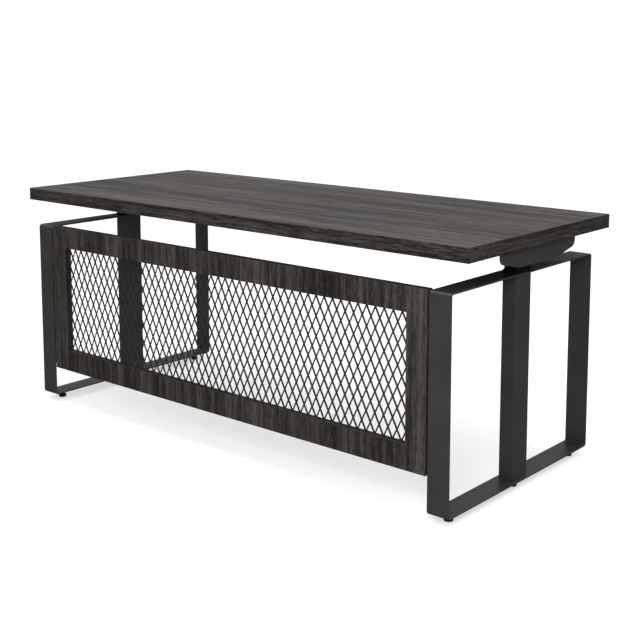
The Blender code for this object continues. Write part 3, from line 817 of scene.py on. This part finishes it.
# ---------------------------------------------------------------- lift gear
LEAD = 0.010                    # lift per turn of a lead screw
FIXING_Y = 0.027                # column screws, from the column's axis
CASE_HALF = (0.037, 0.045)      # gear case
CASE_SEAM = 0.0200              # the lid's seam above the case's underside
MOTOR_R = 0.0145
MOTOR_Z = 0.6898
CASE_SCREW = (0.029, 0.037)     # lid screws, from the case's middle


def lift_spindle(side):
    """The lead screw: a double-start thread with a plain journal on top."""
    here, half, low, high = plan(f"lead_screw_{side}")
    radius = half[0]
    journal = high - 0.020
    rings = [circle(radius - 0.0014, low, 16, here), circle(radius - 0.0009, low + 0.0006, 16, here)]
    rings += thread(radius, 0.0009, LEAD, 2, low + 0.001, journal, here, 16, 12)
    rings += [circle(0.0050, journal + 0.0006, 16, here), circle(0.0050, high - 0.0004, 16, here),
              circle(0.0046, high, 16, here)]
    bm = bmesh.new()
    loft(bm, rings)
    finish_piece(f"lift_spindle_{side}", bm, f"screw_{side}", "bright_steel", (f"lead_screw_{side}",),
                 weighted=False)


def push_barrel(side, here):
    """The foot plate with its push tube, welded on with a fillet."""
    half, low, high = plan(f"push_tube_{side}")[1:]
    radius, bore = 0.0110, 0.0090
    plate_top = low + 0.008
    plate = [(0.0004, low), (0.0, low + 0.0004), (0.0, plate_top - 0.0005), (0.0005, plate_top)]
    barrel = [(radius + 0.0025, plate_top), (radius + 0.0008, plate_top + 0.0006),
              (radius, plate_top + 0.0022), (radius, high - 0.0005), (radius - 0.0005, high),
              (bore + 0.0004, high), (bore, high - 0.0004), (bore, plate_top)]
    bm = bmesh.new()
    loft(bm, rounded_rings(half, 0.0030, plate, here) + [near_round(r, z, here) for r, z in barrel])
    piece = finish_piece(f"push_barrel_{side}", bm, "base", "bright_steel", (f"push_tube_{side}",))
    ends = (low - 0.002, plate_top + 0.002)
    cut(piece, [[circle(0.0033, z, 16, (here[0], here[1] + offset)) for z in ends]
                for offset in (-FIXING_Y, FIXING_Y)])


def spindle_nut(side, here):
    """The lift nut: a stepped collar on the push tube, with a spigot inside it."""
    half, low, high = plan(f"lift_nut_{side}")[1:]
    seat = low + 0.0153
    radius = half[0]
    profile = [(0.0062, low + 0.0004), (0.0066, low), (0.0083, low), (0.0087, low + 0.0004), (0.0087, seat),
               (radius - 0.0003, seat), (radius, seat + 0.0003), (radius, seat + 0.0050),
               (radius - 0.0012, seat + 0.0062), (radius - 0.0012, high - 0.0030),
               (radius - 0.0030, high - 0.0004), (radius - 0.0036, high), (0.0066, high),
               (0.0062, high - 0.0004)]
    bm = bmesh.new()
    loft(bm, [circle(r, z, 48, here) for r, z in profile], closed=True)
    finish_piece(f"spindle_nut_{side}", bm, "base", "nut_plastic", (f"lift_nut_{side}",))


def gear_case(side, here):
    """The gear case with its lid's seam, and the lead screw's socket in its underside."""
    low, high = plan(f"gear_motor_{side}")[2:]
    seam = low + CASE_SEAM
    profile = [(0.0030, low), (0.0010, low + 0.0003), (0.0003, low + 0.0012), (0.0, low + 0.0028),
               (0.0, seam), (0.0012, seam + 0.0004), (0.0012, seam + 0.0014), (0.0, seam + 0.0018),
               (0.0, high - 0.0016), (0.0006, high - 0.0004), (0.0016, high)]
    bm = bmesh.new()
    loft(bm, rounded_rings(CASE_HALF, 0.0090, profile, here, 8))
    case = finish_piece(f"gear_case_{side}", bm, "lifted_desk", "gear_case", (f"gear_motor_{side}",))
    cut(case, [[circle(0.0051, z, 32, here) for z in (low - 0.002, low + 0.0203)]])


def motor_can(side, sign, here):
    """The motor, which lies inwards from the gear case. Its can has two rolled grooves."""
    start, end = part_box(f"gear_motor_{side}")
    far_end = start.x if sign > 0 else end.x
    length = abs(here[0] - far_end) - CASE_HALF[0]
    groove = MOTOR_R - 0.0004
    late_groove = MOTOR_R - 0.0007
    profile = [(0.0060, 0.0), (0.0132, 0.0), (0.0140, 0.0006), (MOTOR_R, 0.0016), (MOTOR_R, 0.0090),
               (groove, 0.0094), (groove, 0.0108), (MOTOR_R, 0.0112), (MOTOR_R, length - 0.0140),
               (late_groove, length - 0.0136), (late_groove, length - 0.0100), (MOTOR_R, length - 0.0096),
               (MOTOR_R, length + 0.0020)]
    place = Matrix.Translation((far_end, here[1], MOTOR_Z)) @ Matrix.Rotation(sign * radians(90), 4, "Y")
    bm = bmesh.new()
    loft(bm, turn([circle(r, z, 48) for r, z in profile], place))
    finish_piece(f"motor_can_{side}", bm, "lifted_desk", "black_steel")


def case_screws(side, here):
    """Four hexagon-socket screws in the underside of the gear case."""
    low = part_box(f"gear_motor_{side}")[0].z
    head = [hexagon(0.0026, 0.0012), hexagon(0.0026, 0.0001), circle(0.0018, 0.0, 24),
            circle(0.0026, 0.0004, 24), circle(0.0030, 0.0012, 24), circle(0.0030, 0.0024, 24)]
    for across, offset_x in (("in", -CASE_SCREW[0]), ("out", CASE_SCREW[0])):
        for along, offset_y in (("front", -CASE_SCREW[1]), ("back", CASE_SCREW[1])):
            bm = bmesh.new()
            loft(bm, turn(head, Matrix.Translation((here[0] + offset_x, here[1] + offset_y, low))))
            finish_piece(f"case_screw_{side}_{across}_{along}", bm, "lifted_desk", "zinc", weighted=False)


for side, sign in SIDES:
    axis_at = plan(f"lead_screw_{side}")[0]
    lift_spindle(side)
    push_barrel(side, axis_at)
    spindle_nut(side, axis_at)
    gear_case(side, axis_at)
    motor_can(side, sign, axis_at)
    case_screws(side, axis_at)

# ---------------------------------------------------------------- control box
start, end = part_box("control_box")
middle = (start + end) / 2
half = (end - start) / 2
here = (middle.x, middle.y)
seam = start.z + 0.0190         # between the shell's halves
profile = [(0.0030, start.z), (0.0012, start.z + 0.0003), (0.0003, start.z + 0.0012),
           (0.0, start.z + 0.0030), (0.0, seam - 0.0006), (0.0008, seam - 0.0004), (0.0008, seam + 0.0004),
           (0.0, seam + 0.0006), (0.0, end.z - 0.0012), (0.0004, end.z - 0.0004), (0.0012, end.z)]
bm = bmesh.new()
loft(bm, rounded_rings((half.x, half.y), 0.0070, profile, here, 8))
shell = finish_piece("box_shell", bm, "lifted_desk", "black_plastic", ("control_box",))
INLET = (0.0135, 0.0095)        # half width and half height of the power inlet
SOCKET = (0.0085, 0.0058)       # and of one of the three sockets
VENT = (0.0016, 0.020)          # half width and half length of a vent slot
inlet_at = Matrix.Translation((start.x, middle.y - 0.016, middle.z)) @ ALONG_X
bay_at = Matrix.Translation((end.x, middle.y, start.z + 0.0150)) @ ALONG_X
tools = [turn([rounded(*INLET, 0.0030, z, steps=5) for z in (-0.004, 0.014)], inlet_at)]
for offset in (-0.022, 0.0, 0.022):
    tools.append(turn([rounded(*SOCKET, 0.0012, z, (offset, 0.0), 3) for z in (-0.010, 0.004)], bay_at))
for k in range(9):
    vent_at = (middle.x - 0.032 + 0.008 * k, middle.y)
    tools.append([rounded(*VENT, 0.0015, z, vent_at, 4) for z in (start.z - 0.002, start.z + 0.0016)])
cut(shell, tools)
for number, (across, up) in enumerate(((-0.0055, -0.0022), (0.0, 0.0026), (0.0055, -0.0022))):
    blade = rounded_rings((0.0010, 0.0022), 0.0008, [(0.0, 0.0141), (0.0, 0.0058), (0.0003, 0.0050)],
                          (across, up), 3)
    bm = bmesh.new()
    loft(bm, turn(blade, inlet_at))
    finish_piece(f"inlet_pin_{number}", bm, "lifted_desk", "zinc")

# ---------------------------------------------------------------- handset and its two keys
start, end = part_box("handset")
middle = (start + end) / 2
half = (end - start) / 2
KEY_RADIUS = 0.0015             # corners of the keys
ARROW = ((-0.0028, -0.0016), (0.0028, -0.0016), (0.0, 0.0022))      # a triangle that points up
FACE_OUT = Matrix(((-1, 0, 0, 0), (0, 0, 1, 0), (0, 1, 0, 0), (0, 0, 0, 1)))    # local Z runs along +Y
front_at = Matrix.Translation((middle.x, end.y, middle.z)) @ FACE_OUT
depth = end.y - start.y
profile = [(0.0008, -depth), (0.0, -depth + 0.0008), (0.0, -0.0100), (0.0003, -0.0096), (0.0003, -0.0088),
           (0.0, -0.0084), (0.0, -0.0022), (0.0003, -0.0010), (0.0010, -0.0003), (0.0022, 0.0),
           (0.0028, 0.0), (0.0032, -0.0006)]
bm = bmesh.new()
loft(bm, turn(rounded_rings((half.x, half.z), 0.0040, profile, steps=6), front_at))
shell = finish_piece("handset_shell", bm, "lifted_desk", "black_plastic", ("handset",))
tools = []
for word in ("up", "down"):
    low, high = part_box(f"button_{word}")
    centre = (low + high) / 2
    size = (high - low) / 2
    place = Matrix.Translation((centre.x, end.y, centre.z)) @ FACE_OUT
    pocket = [rounded(size.x + GAP, size.z + GAP, KEY_RADIUS + GAP, z, steps=5) for z in (-0.0065, 0.004)]
    tools.append(turn(pocket, place))
cut(shell, tools)
for word, way in (("up", 1), ("down", -1)):
    low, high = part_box(f"button_{word}")
    centre = (low + high) / 2
    size = (high - low) / 2
    place = Matrix.Translation((centre.x, low.y, centre.z)) @ FACE_OUT
    tall = high.y - low.y
    profile = [(0.0, 0.0), (0.0, tall - 0.0009), (0.0003, tall - 0.0003), (0.0009, tall)]
    bm = bmesh.new()
    rings = rounded_rings((size.x, size.z), KEY_RADIUS, profile, steps=5)
    rings.append([Vector((p.x * 0.55, p.y * 0.55, tall - 0.0002)) for p in rings[-1]])
    loft(bm, turn(rings, place))
    key = finish_piece(f"{word}_key_cap", bm, f"{word}_key", "button_grey", (f"button_{word}",))
    arrow = [[Vector((x, way * y, height)) for x, y in ARROW] for height in (tall - 0.0011, tall + 0.001)]
    cut(key, [turn(arrow, place)])

# ---------------------------------------------------------------- stage, light and camera
FLOOR_SIZE = 30.0
bm = bmesh.new()
bmesh.ops.create_grid(bm, x_segments=1, y_segments=1, size=FLOOR_SIZE)
mesh = bpy.data.meshes.new("floor")
bm.to_mesh(mesh)
bm.free()
floor = bpy.data.objects.new("floor", mesh)
bpy.context.scene.collection.objects.link(floor)

# a floor with a little light of its own, so that the desk's shadow stays pale
floor_look = Look("floor_look")
floor_look.set(Base_Color=(0.50, 0.50, 0.50, 1.0), Roughness=0.9, Specular_IOR_Level=0.0,
               Emission_Color=(1.0, 1.0, 1.0, 1.0), Emission_Strength=0.585)
floor.visible_glossy = False
mesh.materials.append(floor_look.mat)

# a white backdrop, and a sky that lights the desk more from overhead than from the horizon
SKY_LOW = 0.12
SKY_HIGH = 1.75
world = bpy.data.worlds.new("studio")
bpy.context.scene.world = world
world.use_nodes = True
tree = world.node_tree
tree.nodes.clear()
output = tree.nodes.new("ShaderNodeOutputWorld")
seen = tree.nodes.new("ShaderNodeBackground")
seen.inputs["Color"].default_value = (1, 1, 1, 1)
lit = tree.nodes.new("ShaderNodeBackground")
rays = tree.nodes.new("ShaderNodeLightPath")
choose = tree.nodes.new("ShaderNodeMixShader")
direction = tree.nodes.new("ShaderNodeTexCoord")
split = tree.nodes.new("ShaderNodeSeparateXYZ")
fade = tree.nodes.new("ShaderNodeMapRange")
fade.interpolation_type = "SMOOTHSTEP"
fade.inputs["From Min"].default_value = 0.10
fade.inputs["From Max"].default_value = 1.0
fade.inputs["To Min"].default_value = SKY_LOW
fade.inputs["To Max"].default_value = SKY_HIGH
tree.links.new(direction.outputs["Generated"], split.inputs[0])
tree.links.new(split.outputs["Z"], fade.inputs["Value"])
tree.links.new(fade.outputs[0], lit.inputs["Strength"])
tree.links.new(rays.outputs["Is Camera Ray"], choose.inputs[0])
tree.links.new(lit.outputs[0], choose.inputs[1])
tree.links.new(seen.outputs[0], choose.inputs[2])
tree.links.new(choose.outputs[0], output.inputs["Surface"])


def soft_light(name, place, target, size, power, mirrored=True):
    """A softbox that the camera doesn't see. mirrored says whether glossy faces show it."""
    lamp = bpy.data.lights.new(name, "AREA")
    lamp.shape = "RECTANGLE"
    lamp.size = size[0]
    lamp.size_y = size[1]
    lamp.energy = power
    obj = bpy.data.objects.new(name, lamp)
    obj.location = place
    obj.rotation_mode = "QUATERNION"
    obj.rotation_quaternion = (Vector(target) - Vector(place)).to_track_quat("-Z", "Y")
    obj.visible_camera = False
    obj.visible_glossy = mirrored
    bpy.context.scene.collection.objects.link(obj)


soft_light("overhead", (-0.8, -0.3, 3.6), (-0.2, 0.0, 0.4), (2.6, 1.6), 50.0)
soft_light("front_right", (1.9, -2.4, 1.7), (0.7, -0.3, 0.5), (1.2, 1.0), 56.0, False)
soft_light("rear_right", (2.7, 2.5, 2.2), (0.0, 0.0, 0.4), (1.8, 1.4), 14.0)

bpy.context.scene.view_settings.view_transform = "Standard"

AZIMUTH = radians(40.63)        # from the desk's front towards its right end
ELEVATION = radians(7.44)
camera_data = bpy.data.cameras.new("camera")
camera_data.lens = 65.07
camera_data.sensor_width = 36.0
camera_data.shift_y = -0.2
camera = bpy.data.objects.new("camera", camera_data)
camera.location = (2.477, -2.767, 1.259)
forward = Vector((-sin(AZIMUTH) * cos(ELEVATION), cos(AZIMUTH) * cos(ELEVATION), -sin(ELEVATION)))
camera.rotation_mode = "QUATERNION"
camera.rotation_quaternion = forward.to_track_quat("-Z", "Y")
bpy.context.scene.collection.objects.link(camera)
bpy.context.scene.camera = camera
